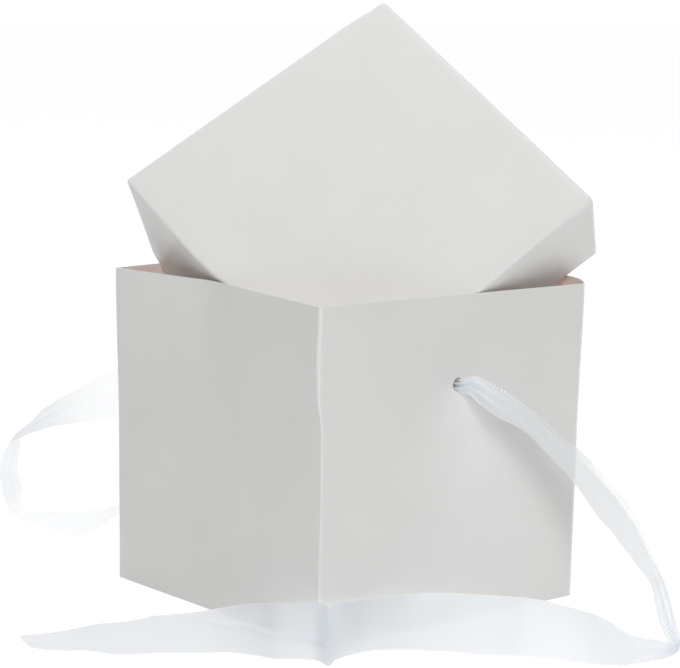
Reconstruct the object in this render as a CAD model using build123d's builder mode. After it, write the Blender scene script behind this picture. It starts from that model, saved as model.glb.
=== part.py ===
"""Square card gift box with a lift-off lid and two organza ribbons.

The box stands open: its lid leans in the mouth, one corner down, the way it is shown in use.
Millimetres, +Z up, origin at the middle of the base where the box stands.
"""

import os
from math import cos, radians, sin

from build123d import *

# Card and paper
card = 0.6  # thickness of the folded white card
lining = 0.25  # thickness of the coloured lining paper
floor_board = 0.8  # thickness of the loose board on the bottom
bond = 0.05  # glue line between two layers
fold_radius = 0.9  # outer radius of a folded card edge

# Box
box_side = 150.0
box_height = 147.0
glue_flap = 14.0  # width of the flap that closes the wall strip
flap_taper = 4.0  # how far the flap narrows towards its ends
flange_height = 14.0  # glued edges of the bottom tray
corner_relief = 1.5  # open corner between two flanges
lining_setback = 1.0  # lining stops this far below an open edge
hole_diameter = 6.0
hole_drop = 40.0  # hole centre below the rim
crease_foot = 50.0  # the bent front wall is flat again below this height

# Lid
lid_clearance = 0.4  # sideways play when the lid is pushed over the box
lid_depth = 43.0
lid_tab = 14.0  # glued corner tab inside the lid
tab_taper = 3.0

# How the lid leans in the mouth
lid_lean = 51.2  # degrees from level
lid_yaw = 41.1  # degrees from the X axis to the direction the face looks in
lid_turn = 45.7  # degrees from the slope of the face to its lower right edge
seat_gap = 0.3  # play where the lid leans on the walls

# Ribbons
ribbon_width = 25.0
ribbon_thick = 0.4
ribbon_rest = 0.5  # lowest edge of a ribbon above the table
neck_width = 4.0  # the ribbon gathered in its hole
neck_thick = 3.0
neck_reach = 4.0  # how far the gathered part runs on outside the wall
neck_angle_right = 60  # degrees from level to the width of the gathered part
neck_angle_left = 90
spread_power = 3  # how fast the gathered ribbon thins as it spreads
knot_radius = 5.5
knot_length = 8.0
knot_seat_share = 0.8  # place of the knot's flat seat along its half length
knot_tail = 14.0  # cut end, from inside the knot to its tip
knot_tail_width = 7.0
tail_angle = 100  # degrees, so that the tail widens towards its cut end

# Sizes that follow
half_side = box_side / 2
wall_in = half_side - card  # inner face of the walls
flange_in = wall_in - bond - card  # inner face of the tray's flanges and of the glue flap
lining_out = flange_in - bond
lining_in = lining_out - lining
lining_top = box_height - lining_setback
lining_foot = card + bond + floor_board + bond
hole_height = box_height - hole_drop
lid_side = box_side + 2 * (lid_clearance + card)
knot_seat = lining_in - seat_gap  # distance of a knot's flat seat from the middle of the box

# Unit directions of the lid: out of its face, along its lower right and lower left edges
lean, yaw, turn = radians(lid_lean), radians(lid_yaw), radians(lid_turn)
face_out = Vector(-sin(lean) * cos(yaw), -sin(lean) * sin(yaw), cos(lean))
slope = Vector(cos(lean) * cos(yaw), cos(lean) * sin(yaw), sin(lean))
level = Vector(sin(yaw), -cos(yaw), 0)
edge_right = slope * cos(turn) + level * sin(turn)
edge_left = slope * sin(turn) - level * cos(turn)


def lid_corner():
    """Lowest corner of the lid's face, where both skirts lie on the back rims and the lower
    right edge leans on the front rim."""
    run = edge_right.Y / edge_right.Z
    climb_left = edge_left.Z / edge_left.Y
    climb_right = edge_right.Z / edge_right.X
    rest = box_height + seat_gap + lid_depth * face_out.Z
    front = seat_gap - lining_in - lining_top * run
    back = wall_in + lid_depth * face_out.Y
    z = (rest - climb_left * (back - front)) / (1 - climb_left * run)
    x = wall_in + lid_depth * face_out.X - (rest - z) / climb_right
    return Vector(x, front + run * z, z)


corner = lid_corner()
lid_plane = Plane(origin=corner, x_dir=edge_right, z_dir=face_out)

# The front left wall is bent inwards to the point where the lid's lower left edge leans on it
crease_y = corner.Y + (box_height - corner.Z) * edge_left.Y / edge_left.Z
crease_inset = corner.X + (lining_top - corner.Z) * edge_left.X / edge_left.Z + lining_in - seat_gap
print(f"lid corner {corner}, crease at y {crease_y:.2f}, bent in by {crease_inset:.2f}")


def wall_outline(height, half, inset):
    """Draw the walls' outline at a height: a square whose front left side is bent in by inset."""
    with BuildSketch(Plane.XY.offset(height)) as outline:
        with BuildLine():
            Polyline(
                (-half, -half),
                (half, -half),
                (half, half),
                (-half, half),
                (inset - half, crease_y),
                close=True,
            )
        make_face()
    return outline.sketch


def wall_body(half, foot, top, mode):
    """Fill the walls' outline from foot to top, upright below the bend and leaning in above it."""
    lean_in = crease_inset * (top - crease_foot) / (box_height - crease_foot)
    extrude(wall_outline(foot, half, 0), amount=crease_foot - foot, mode=mode)
    sections = (wall_outline(crease_foot, half, 0), wall_outline(top, half, lean_in))
    loft([section.face() for section in sections], ruled=True, mode=mode)


def ribbon_holes():
    """Cut the two ribbon holes, one in the front right wall and one opposite."""
    with BuildSketch(Plane.XZ) as hole:
        with Locations((0, hole_height)):
            Circle(hole_diameter / 2)
    extrude(hole.sketch, amount=box_side, both=True, mode=Mode.SUBTRACT)


# Walls: one strip of card folded into four walls, closed by a glue flap at the back corner
with BuildPart() as wall_sheet:
    wall_body(half_side, 0, box_height, Mode.ADD)
    upright = wall_sheet.edges().filter_by(Axis.Z)
    fillet([edge for edge in upright if abs(edge.center().Y) > wall_in], fold_radius)
    wall_body(wall_in, 0, box_height, Mode.SUBTRACT)
    with BuildSketch(Plane.YZ.offset(wall_in)):
        with BuildLine():
            Polyline(
                (wall_in, flange_height + card),
                (wall_in, box_height - lining_setback),
                (wall_in - glue_flap, box_height - lining_setback - flap_taper),
                (wall_in - glue_flap, flange_height + card + flap_taper),
                close=True,
            )
        make_face()
    extrude(amount=-card)
    ribbon_holes()

# Bottom: a square tray whose four flanges are glued inside the walls
tray_half = wall_in - bond
with BuildPart() as bottom_tray:
    with BuildSketch():
        Rectangle(2 * tray_half, 2 * tray_half)
    extrude(amount=card + flange_height)
    with BuildSketch(Plane.XY.offset(card)):
        Rectangle(2 * flange_in, 2 * flange_in)
    extrude(amount=flange_height, mode=Mode.SUBTRACT)
    with BuildSketch(Plane.XY.offset(card)):
        with GridLocations(2 * tray_half, 2 * tray_half, 2, 2):
            Rectangle(2 * (card + corner_relief), 2 * (card + corner_relief))
    extrude(amount=flange_height, mode=Mode.SUBTRACT)

# Lining: one strip of coloured paper round the inside of the walls
with BuildPart() as wall_lining:
    wall_body(lining_out, lining_foot, lining_top, Mode.ADD)
    wall_body(lining_in, lining_foot, lining_top, Mode.SUBTRACT)
    ribbon_holes()

# Loose board that covers the bottom
with BuildPart() as floor_liner:
    with BuildSketch(Plane.XY.offset(card + bond)) as board:
        Rectangle(2 * lining_out, 2 * lining_out)
        fillet(board.vertices(), corner_relief)
    extrude(amount=floor_board)

# Lid: one sheet of card with four skirts and a glued tab in each corner
lid_middle = lid_side / 2
lid_in = lid_side - 2 * card
with BuildPart() as lid_sheet:
    with BuildSketch(lid_plane):
        Rectangle(lid_side, lid_side, align=(Align.MIN, Align.MIN))
    extrude(amount=-lid_depth)
    rim_face = lid_sheet.faces().sort_by(lambda face: lid_plane.to_local_coords(face.center()).Z)[0]
    rim_edges = rim_face.edges()
    fillet([edge for edge in lid_sheet.edges() if edge not in rim_edges], fold_radius)
    with BuildSketch(lid_plane.offset(-card)):
        with Locations((lid_middle, lid_middle)):
            Rectangle(lid_in, lid_in)
    extrude(amount=-lid_depth, mode=Mode.SUBTRACT)
    for turn_index in range(4):
        tab_plane = lid_plane.offset(-card)
        with BuildSketch(tab_plane):
            with Locations(Location((lid_middle, lid_middle), 90 * turn_index)):
                with Locations((lid_in / 2 - card / 2, lid_in / 2 - lid_tab / 2)):
                    Rectangle(card, lid_tab)
        extrude(amount=-(lid_depth - card - tab_taper))

# Lid lining: a tray of coloured paper that covers the tabs
liner_out = lid_in - 2 * (card + bond)
liner_in = liner_out - 2 * lining
with BuildPart() as lid_lining:
    with BuildSketch(lid_plane.offset(-card - bond)):
        with Locations((lid_middle, lid_middle)):
            Rectangle(liner_out, liner_out)
    extrude(amount=-(lid_depth - card - bond - lining_setback))
    with BuildSketch(lid_plane.offset(-card - bond - lining)):
        with Locations((lid_middle, lid_middle)):
            Rectangle(liner_in, liner_in)
    extrude(amount=-lid_depth, mode=Mode.SUBTRACT)


def direction(azimuth, elevation):
    """Unit vector from two angles in degrees."""
    around, up = radians(azimuth), radians(elevation)
    return Vector(cos(around) * cos(up), sin(around) * cos(up), sin(up))


def hanging(rows):
    """Stations of a hanging stretch. A row is the centre as shares of box_side, box_side and
    hole_height, then the azimuth and elevation of the width, and the share of the full width."""
    stations = []
    for x_share, y_share, z_share, azimuth, elevation, width_share in rows:
        centre = Vector(x_share * box_side, y_share * box_side, z_share * hole_height)
        width = width_share * ribbon_width
        thick = ribbon_thick + (neck_thick - ribbon_thick) * (1 - width_share) ** spread_power
        stations.append((centre, direction(azimuth, elevation), width, thick))
    return stations


def lying(rows):
    """Stations of a stretch on the table. A row is the lower edge as shares of box_side, then
    how far the width leans up, and the azimuth of its foot."""
    stations = []
    for x_share, y_share, leaning, azimuth in rows:
        across = direction(azimuth, leaning)
        edge = Vector(x_share * box_side, y_share * box_side, ribbon_rest)
        stations.append((edge + across * (ribbon_width / 2), across, ribbon_width, ribbon_thick))
    return stations


def neck(side, elevation):
    """Stations of the gathered ribbon from its knot through the hole, on the side -1 or 1."""
    across = direction(0, elevation)
    places = (knot_seat, half_side + neck_reach)
    return [(Vector(0, side * y, hole_height), across, neck_width, neck_thick) for y in places]


def band(stations):
    """Run the ribbon's section through its stations."""
    sections = []
    centres = [station[0] for station in stations]
    for index, (centre, across, width, thick) in enumerate(stations):
        before = centre - centres[index - 1] if index > 0 else Vector(0, 0, 0)
        after = centres[index + 1] - centre if index + 1 < len(centres) else Vector(0, 0, 0)
        along = before.normalized() if index > 0 else after.normalized()
        if 0 < index < len(centres) - 1:
            along = along + after.normalized()
        along = along - across * along.dot(across)
        with BuildSketch(Plane(origin=centre, x_dir=across, z_dir=along.normalized())) as section:
            Rectangle(width, thick)
        sections.append(section.sketch.face())
    loft(sections, ruled=True)


def route_length(stations):
    """Length along the middle of the ribbon."""
    centres = [station[0] for station in stations]
    return sum((after - before).length for before, after in zip(centres, centres[1:]))


# Right ribbon: out of the front right wall, down to the table and along the front of the box
right_hang_shares = (
    (0.027, -0.580, 0.985, 20, 50, 0.56),
    (0.068, -0.647, 0.960, 22, 35, 0.84),
    (0.126, -0.740, 0.862, 22, 20, 1),
    (0.184, -0.840, 0.717, 22, 10, 1),
    (0.238, -0.933, 0.549, 23, 8, 1),
    (0.284, -1.014, 0.362, 27, 6, 1),
    (0.316, -1.061, 0.190, 38, 4, 1),
    (0.332, -1.080, 0.065, 50, 1, 1),
)
right_table_shares = (
    (0.280, -1.147, 3, 55),
    (0.160, -1.153, 28, 80),
    (0.040, -1.087, 52, 105),
    (-0.060, -0.953, 78, 125),
    (-0.180, -0.827, 88, 130),
    (-0.287, -0.687, 88, 120),
    (-0.387, -0.613, 86, 90),
    (-0.487, -0.593, 86, 70),
    (-0.587, -0.633, 88, 60),
    (-0.647, -0.533, 78, 60),
    (-0.720, -0.413, 66, 50),
    (-0.847, -0.313, 46, 50),
    (-0.993, -0.207, 26, 55),
    (-1.133, -0.040, 3, 80),
)
right_stations = neck(-1, neck_angle_right) + hanging(right_hang_shares) + lying(right_table_shares)
with BuildPart() as ribbon_right:
    band(right_stations)

# Left ribbon: out of the back left wall, round in an open loop and back behind the box
left_shares = (
    (-0.040, 0.600, 0.981, 0, 88, 0.52),
    (-0.147, 0.680, 0.910, 0, 85, 0.88),
    (-0.313, 0.747, 0.789, 0, 80, 1),
    (-0.475, 0.793, 0.706, 30, 60, 1),
    (-0.595, 0.847, 0.631, 50, 35, 1),
    (-0.640, 0.913, 0.523, 65, 10, 1),
    (-0.613, 0.980, 0.374, 55, -25, 1),
    (-0.553, 1.040, 0.196, 62, -18, 1),
    (-0.447, 1.067, 0.065, 75, -6, 1),
    (-0.280, 1.060, 0.011, 85, 0, 1),
    (-0.093, 0.993, 0.007, 80, 0, 1),
    (0.120, 0.913, 0.007, 75, 0, 1),
)
left_stations = neck(1, neck_angle_left) + hanging(left_shares)
with BuildPart() as ribbon_left:
    band(left_stations)

print(f"ribbon lengths: right {route_length(right_stations):.0f}, left {route_length(left_stations):.0f}")


# Stop knot inside the back left wall, flat where the gathered ribbon leaves it, and its cut end
knot_middle = knot_seat - knot_length / 2 * knot_seat_share
with BuildPart() as knot_left:
    with BuildSketch(Plane.YZ):
        with Locations((knot_middle, hole_height)):
            Ellipse(knot_length / 2, knot_radius)
            Rectangle(knot_length, knot_radius, align=(Align.CENTER, Align.MAX), mode=Mode.SUBTRACT)
        with Locations((knot_seat + knot_length, hole_height)):
            Rectangle(2 * knot_length, 2 * knot_radius, mode=Mode.SUBTRACT)
    revolve(axis=Axis((0, 0, hole_height), (0, 1, 0)))
    with BuildSketch(Plane.XZ.offset(-knot_middle)):
        with Locations((0, hole_height - knot_radius / 2)):
            Trapezoid(knot_tail_width, knot_tail, tail_angle, align=(Align.CENTER, Align.MAX))
    extrude(amount=ribbon_thick / 2, both=True)

# The same knot inside the front right wall
with BuildPart() as knot_right:
    mirror(knot_left.part, about=Plane.XZ)

pieces = {
    "wall_sheet": wall_sheet,
    "bottom_tray": bottom_tray,
    "wall_lining": wall_lining,
    "floor_liner": floor_liner,
    "lid_sheet": lid_sheet,
    "lid_lining": lid_lining,
    "ribbon_right": ribbon_right,
    "ribbon_left": ribbon_left,
    "knot_right": knot_right,
    "knot_left": knot_left,
}
os.makedirs("parts", exist_ok=True)
for name, piece in pieces.items():
    piece.part.label = name
    export_step(piece.part, f"parts/{name}.step")
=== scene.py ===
"""Looks of a square card gift box: folded walls, a lid that leans in the mouth, two sheer ribbons.

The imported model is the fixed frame. Each class builds one sub-assembly in millimetres, in the
frame's own axes, and hands it over in metres to the body that it moves with.
"""

import logging
import math
from dataclasses import dataclass, replace
from enum import Enum
from typing import Callable, Sequence

import bmesh
import bpy
from bmesh.types import BMesh
from bpy.types import Material, Node, NodeSocket, Object, World
from mathutils import Matrix, Vector, noise


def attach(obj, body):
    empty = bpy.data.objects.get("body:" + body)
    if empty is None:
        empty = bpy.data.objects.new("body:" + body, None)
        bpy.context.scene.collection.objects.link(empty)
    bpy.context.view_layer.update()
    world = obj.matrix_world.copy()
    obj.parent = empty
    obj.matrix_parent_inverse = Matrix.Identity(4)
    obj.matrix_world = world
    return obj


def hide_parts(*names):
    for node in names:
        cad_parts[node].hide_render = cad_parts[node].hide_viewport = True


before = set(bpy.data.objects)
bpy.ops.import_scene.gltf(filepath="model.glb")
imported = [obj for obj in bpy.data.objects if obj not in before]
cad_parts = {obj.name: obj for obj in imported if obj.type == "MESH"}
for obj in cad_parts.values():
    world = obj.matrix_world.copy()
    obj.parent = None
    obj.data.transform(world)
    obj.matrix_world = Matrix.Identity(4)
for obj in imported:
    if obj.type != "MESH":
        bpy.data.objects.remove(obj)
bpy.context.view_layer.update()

log = logging.getLogger("gift_box")
MM = 0.001
WIDE_FOLD = 6.0  # outer radius of a worn fold, millimetres
FOLD_WORN = 2.4  # a fold is fully worn up to this distance from it, and not at all at WIDE_FOLD
FOLD_PARTS = 8
FOLD_CUTS = (6.2, 8.4)  # distances from a fold at which the panel beside it is cut
FOLD_CLEAR = 9.5  # no other cut is as near as this
CARD_ANGLE = 38.0  # edges of card that turn more degrees than this stay sharp
CLOTH_ANGLE = 75.0
RIBBON_WIDTH = 25.0
TABLE_REST = 0.5  # height of the ribbon's lower edge on the table
WHITE = (1.0, 1.0, 1.0, 1.0)

Colour = tuple[float, float, float]
Rows = Sequence[tuple[float, float]]


class Body(Enum):
    """The two bodies of the frame."""

    BOX = "box"
    LID = "lid"


class Slot(Enum):
    """The record's material slots."""

    CARD = "white_card"
    PAPER = "peach_paper"
    ORGANZA = "organza"


# Small tools


def rise(low: float, high: float, value: float) -> float:
    """Go smoothly from 0 at low to 1 at high.

    Args:
        low: Where the rise starts.
        high: Where it ends.
        value: The place asked for.

    Returns:
        A share from 0 to 1.
    """
    share = min(max((value - low) / (high - low), 0.0), 1.0)
    return share * share * (3 - 2 * share)


def hump(middle: float, reach: float, value: float) -> float:
    """Height of a soft hump that is 1 at its middle and 0 from its reach on."""
    return 1 - rise(0, reach, abs(value - middle))


def table(rows: Rows, value: float) -> float:
    """Read a table of places and amounts, smooth between its rows.

    Args:
        rows: Place and amount, in rising order of place.
        value: The place asked for.

    Returns:
        The amount there; the end rows hold beyond the ends.
    """
    if value <= rows[0][0]:
        return rows[0][1]
    for (low, before), (high, after) in zip(rows, rows[1:]):
        if value <= high:
            return before + (after - before) * rise(low, high, value)
    return rows[-1][1]


def unit(azimuth: float, elevation: float) -> Vector:
    """Unit vector from two angles in degrees."""
    around, up = math.radians(azimuth), math.radians(elevation)
    return Vector((math.cos(around) * math.cos(up), math.sin(around) * math.cos(up), math.sin(up)))


def as_piece(bm: BMesh, name: str, sharp: float = CARD_ANGLE) -> Object:
    """Turn a mesh in millimetres into a scene object in metres.

    Args:
        bm: The mesh. It is freed.
        name: Name of the piece.
        sharp: Edges that turn more than this many degrees stay sharp.

    Returns:
        The linked object, at the origin.
    """
    bmesh.ops.scale(bm, vec=(MM, MM, MM), verts=bm.verts)
    mesh = bpy.data.meshes.new(name)
    bm.to_mesh(mesh)
    bm.free()
    mesh.shade_smooth()
    mesh.set_sharp_from_angle(angle=math.radians(sharp))
    piece = bpy.data.objects.new(name, mesh)
    bpy.context.scene.collection.objects.link(piece)
    return piece


def as_card(bm: BMesh, name: str, thick: float, cutters: Sequence[Object] = ()) -> Object:
    """Turn a sheet one face thick into a piece of card or paper.

    Args:
        bm: The sheet, in millimetres. It is freed.
        name: Name of the piece.
        thick: Thickness, inwards.
        cutters: Closed meshes that are cut out of it. They are removed.

    Returns:
        The linked object, at the origin.
    """
    piece = as_piece(bm, name)
    skin = piece.modifiers.new("thickness", "SOLIDIFY")
    skin.thickness = thick * MM
    skin.offset = -1.0
    skin.use_even_offset = True
    for cutter in cutters:
        step = piece.modifiers.new(cutter.name, "BOOLEAN")
        step.operation = "DIFFERENCE"
        step.solver = "EXACT"
        step.object = cutter
    graph = bpy.context.evaluated_depsgraph_get()
    shaped = bpy.data.meshes.new_from_object(piece.evaluated_get(graph), depsgraph=graph)
    piece.modifiers.clear()
    piece.data = shaped
    shaped.set_sharp_from_angle(angle=math.radians(CARD_ANGLE))
    for cutter in cutters:
        bpy.data.objects.remove(cutter)
    return piece


def slice_up(bm: BMesh, axis: int, places: Sequence[float]) -> None:
    """Cut a mesh into strips at places along one axis.

    Args:
        bm: The mesh.
        axis: 0, 1 or 2 for x, y or z.
        places: Where the cuts lie.
    """
    for place in places:
        point, normal = Vector(), Vector()
        point[axis], normal[axis] = place, 1.0
        parts = list(bm.verts) + list(bm.edges) + list(bm.faces)
        bmesh.ops.bisect_plane(bm, geom=parts, plane_co=point, plane_no=normal, dist=1e-5)


def steps(low: float, high: float, count: int) -> list[float]:
    """Places that divide a stretch into count equal parts, without its ends."""
    return [low + (high - low) * index / count for index in range(1, count)]


def fold_steps(low: float, high: float, count: int) -> list[float]:
    """Divide a stretch evenly, with closer cuts beside both ends, where the folds are.

    Args:
        low: Start of the stretch.
        high: Its end.
        count: Number of even parts.

    Returns:
        The places of the cuts, in rising order.
    """
    ends = [low + gap for gap in FOLD_CUTS] + [high - gap for gap in FOLD_CUTS]
    inner = [p for p in steps(low, high, count) if low + FOLD_CLEAR < p < high - FOLD_CLEAR]
    return sorted(ends + inner)


def open_tray(
    width: float,
    foot: float,
    top: float,
    parts: Sequence[int],
    worn: Callable[[Vector], float],
    with_floor: bool = False,
) -> BMesh:
    """Make four walls with wide rounded folds, open on top, and open below unless it has a floor.

    Args:
        width: Outside width, both ways.
        foot: Height of the lower edge.
        top: Height of the upper edge.
        parts: Number of parts across a wall and up a wall.
        worn: Gives a point's nearness to a fold, for the wear in the card's finish.
        with_floor: Close it at the lower edge.

    Returns:
        The mesh, one face thick.
    """
    depth = top - foot
    bm = bmesh.new()
    bmesh.ops.create_cube(bm, size=1.0)
    bmesh.ops.scale(bm, vec=(width, width, depth), verts=bm.verts)
    bmesh.ops.translate(bm, vec=(0, 0, depth / 2), verts=bm.verts)
    level = [f for f in bm.faces if abs(f.normal.z) > 0.5]
    spare = [f for f in level if f.normal.z > 0 or not with_floor]
    bmesh.ops.delete(bm, geom=spare, context="FACES_ONLY")
    folds = [e for e in bm.edges if len(e.link_faces) == 2]
    bmesh.ops.bevel(
        bm, geom=folds, offset=WIDE_FOLD, segments=FOLD_PARTS, profile=0.5, affect="EDGES", material=-1
    )
    bmesh.ops.translate(bm, vec=(0, 0, foot), verts=bm.verts)
    for axis in (0, 1):
        slice_up(bm, axis, fold_steps(-width / 2, width / 2, parts[0]))
    slice_up(bm, 2, steps(foot, top, parts[1]))
    fold = bm.verts.layers.float.new("fold")
    for vert in bm.verts:
        vert[fold] = worn(vert.co)
    return bm


def tighten(point: Vector, corners: Sequence[float | None], keep: float) -> Vector:
    """Draw a point of a wide fold towards the line where its panels would meet.

    Args:
        point: A point of an open tray.
        corners: Places of the panels beside it, along x, y and z.
        keep: Share of the fold's radius that is left.

    Returns:
        The point of the tighter fold; a point that isn't on a fold stays.
    """
    reach = WIDE_FOLD + 0.01
    near = [c is not None and abs(place - c) <= reach for place, c in zip(point, corners)]
    if sum(near) < 2:
        return point
    drawn = [c + (place - c) * keep if n else place for place, c, n in zip(point, corners, near)]
    return Vector(drawn)


def hand_over(piece: Object, body: Body, finish: Material, node: str) -> None:
    """Dress a piece, let it ride on its body and stand for its node.

    Args:
        piece: The finished piece.
        body: The body that it moves with.
        finish: Its material.
        node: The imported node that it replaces.
    """
    piece.data.materials.clear()
    piece.data.materials.append(finish)
    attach(piece, body.value)
    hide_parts(node)
    log.info("%s: %d faces, stands for %s", piece.name, len(piece.data.polygons), node)


# Finishes


def toned(colour: Colour, share: float, tint: Colour = (1.0, 1.0, 1.0)) -> tuple[float, ...]:
    """A colour scaled by a share and a tint, held at 1, with its alpha."""
    return tuple(min(c * share * t, 1.0) for c, t in zip(colour, tint)) + (1.0,)


class Mixed(Enum):
    """What a mix node mixes: its data type, its first socket and its output."""

    NUMBERS = ("FLOAT", 2, 0)
    COLOURS = ("RGBA", 6, 2)


class Shader:
    """The node tree of a material or of the world, with short calls to add and join nodes."""

    def __init__(self, owner: Material | World) -> None:
        """Start an empty tree.

        Args:
            owner: The material or world.
        """
        owner.use_nodes = True
        self.owner = owner
        self.tree = owner.node_tree
        self.tree.nodes.clear()

    def add(self, kind: str, settings: dict | None = None, *values: object, **inputs: object) -> Node:
        """Add a node.

        Args:
            kind: The node's type, without its ShaderNode prefix.
            settings: Properties of the node.
            *values: Values, outputs or nodes for its first sockets, in order.
            **inputs: The same for sockets by name, with _ for a space.

        Returns:
            The new node.
        """
        node = self.tree.nodes.new("ShaderNode" + kind)
        for key, value in (settings or {}).items():
            setattr(node, key, value)
        for index, value in enumerate(values):
            self.put(node, index, value)
        for key, value in inputs.items():
            self.put(node, key.replace("_", " "), value)
        return node

    def put(self, node: Node, socket: str | int, value: object) -> None:
        """Fill a socket.

        Args:
            node: The node.
            socket: Name or number of the socket.
            value: A plain value, an output, or a node, whose first output is joined.
        """
        if isinstance(value, Node):
            value = value.outputs[0]
        if isinstance(value, NodeSocket):
            self.tree.links.new(value, node.inputs[socket])
        else:
            node.inputs[socket].default_value = value

    def math(self, operation: str, *values: object) -> NodeSocket:
        """Result of a sum on numbers and outputs."""
        return self.add("Math", {"operation": operation}, *values).outputs[0]

    def ranged(
        self, value: object, low: float, high: float, start: float = 0.0, end: float = 1.0
    ) -> NodeSocket:
        """Map low..high to start..end, held at the ends."""
        return self.add("MapRange", None, value, low, high, start, end).outputs[0]

    def mark(self, name: str) -> NodeSocket:
        """A number that the mesh carries on its vertices."""
        return self.add("Attribute", {"attribute_name": name}).outputs["Fac"]

    def wave(self, place: object, pitch: float) -> NodeSocket:
        """A wave from -1 to 1 that repeats at every pitch."""
        return self.math("COSINE", self.math("MULTIPLY", place, 2 * math.pi / pitch))

    def blended(
        self, share: object, first: object, second: object, what: Mixed = Mixed.COLOURS
    ) -> NodeSocket:
        """Mix two colours or two numbers.

        Args:
            share: Share of the second.
            first: The first.
            second: The second.
            what: Whether they are colours or numbers.

        Returns:
            The mixed one.
        """
        kind, socket, result = what.value
        node = self.add("Mix", {"data_type": kind}, share)
        self.put(node, socket, first)
        self.put(node, socket + 1, second)
        return node.outputs[result]

    def mixed(self, share: object, first: Node, second: Node) -> Node:
        """Mix two surfaces, with the second one's share."""
        return self.add("MixShader", None, share, first, second)

    def seen(self) -> NodeSocket:
        """Tell the rays to which the background shows: from the camera, in gloss, through glass.

        Returns:
            1 for such a ray, 0 for another.
        """
        path = self.add("LightPath").outputs
        bent = self.math("MAXIMUM", path["Is Glossy Ray"], path["Is Transmission Ray"])
        return self.math("MAXIMUM", path["Is Camera Ray"], bent)

    def close(self, surface: Node) -> Material | World:
        """Join the surface to the output.

        Args:
            surface: The finished surface or background.

        Returns:
            The material or world.
        """
        kind = "World" if isinstance(self.owner, World) else "Material"
        self.add("Output" + kind, Surface=surface)
        return self.owner


@dataclass(frozen=True)
class CardFinish:
    """Matt card or paper with a fine tooth, faint clouding and lighter folds."""

    name: str
    colour: Colour
    cloud: float = 0.02  # how far the colour drifts over a panel
    cloud_scale: float = 22.0  # clouds, fibres and pulp, each in its number to the metre
    fibre_scale: float = 900.0
    pulp_scale: float = 4200.0
    fold_lift: float = 0.6  # how far the fibres along a fold go towards white
    roughness: float = 0.62
    gloss: float = 0.32
    tooth: float = 0.06
    tooth_depth: float = 0.0002  # metres
    sizing: float = 0.0  # weight of the faint gloss that shows where the card turns away
    sizing_roughness: float = 0.3

    def material(self) -> Material:
        """Build the material on the piece's own coordinates.

        Returns:
            The material.
        """
        shader = Shader(bpy.data.materials.new(self.name))
        place = shader.add("TexCoord").outputs["Object"]
        clouds = shader.add("TexNoise", Vector=place, Scale=self.cloud_scale, Detail=3.0)
        fibres = shader.add(
            "TexNoise", Vector=place, Scale=self.fibre_scale, Detail=6.0, Roughness=0.65
        )
        pulp = shader.add("TexNoise", Vector=place, Scale=self.pulp_scale, Detail=2.0)
        dark, light = toned(self.colour, 1 - self.cloud), toned(self.colour, 1 + self.cloud)
        drift = shader.blended(shader.ranged(clouds, 0.3, 0.7), dark, light)
        speck = toned(self.colour, 1 - 1.5 * self.cloud)
        tone = shader.blended(shader.ranged(fibres, 0.56, 0.8), drift, speck)
        bare = tuple(c + (1 - c) * self.fold_lift for c in self.colour) + (1.0,)
        worn = shader.math("MULTIPLY", shader.mark("fold"), shader.ranged(fibres, 0.35, 0.65, 0.5))
        relief = shader.math("ADD", fibres, shader.math("MULTIPLY", pulp, 0.4))
        skin = shader.add(
            "BsdfPrincipled",
            Base_Color=shader.blended(worn, tone, bare),
            Roughness=shader.ranged(fibres, 0.3, 0.7, self.roughness - 0.05, self.roughness + 0.08),
            Specular_IOR_Level=self.gloss,
            Coat_Weight=self.sizing,
            Coat_Roughness=self.sizing_roughness,
            Normal=shader.add("Bump", Strength=self.tooth, Distance=self.tooth_depth, Height=relief),
        )
        return shader.close(skin)


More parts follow.
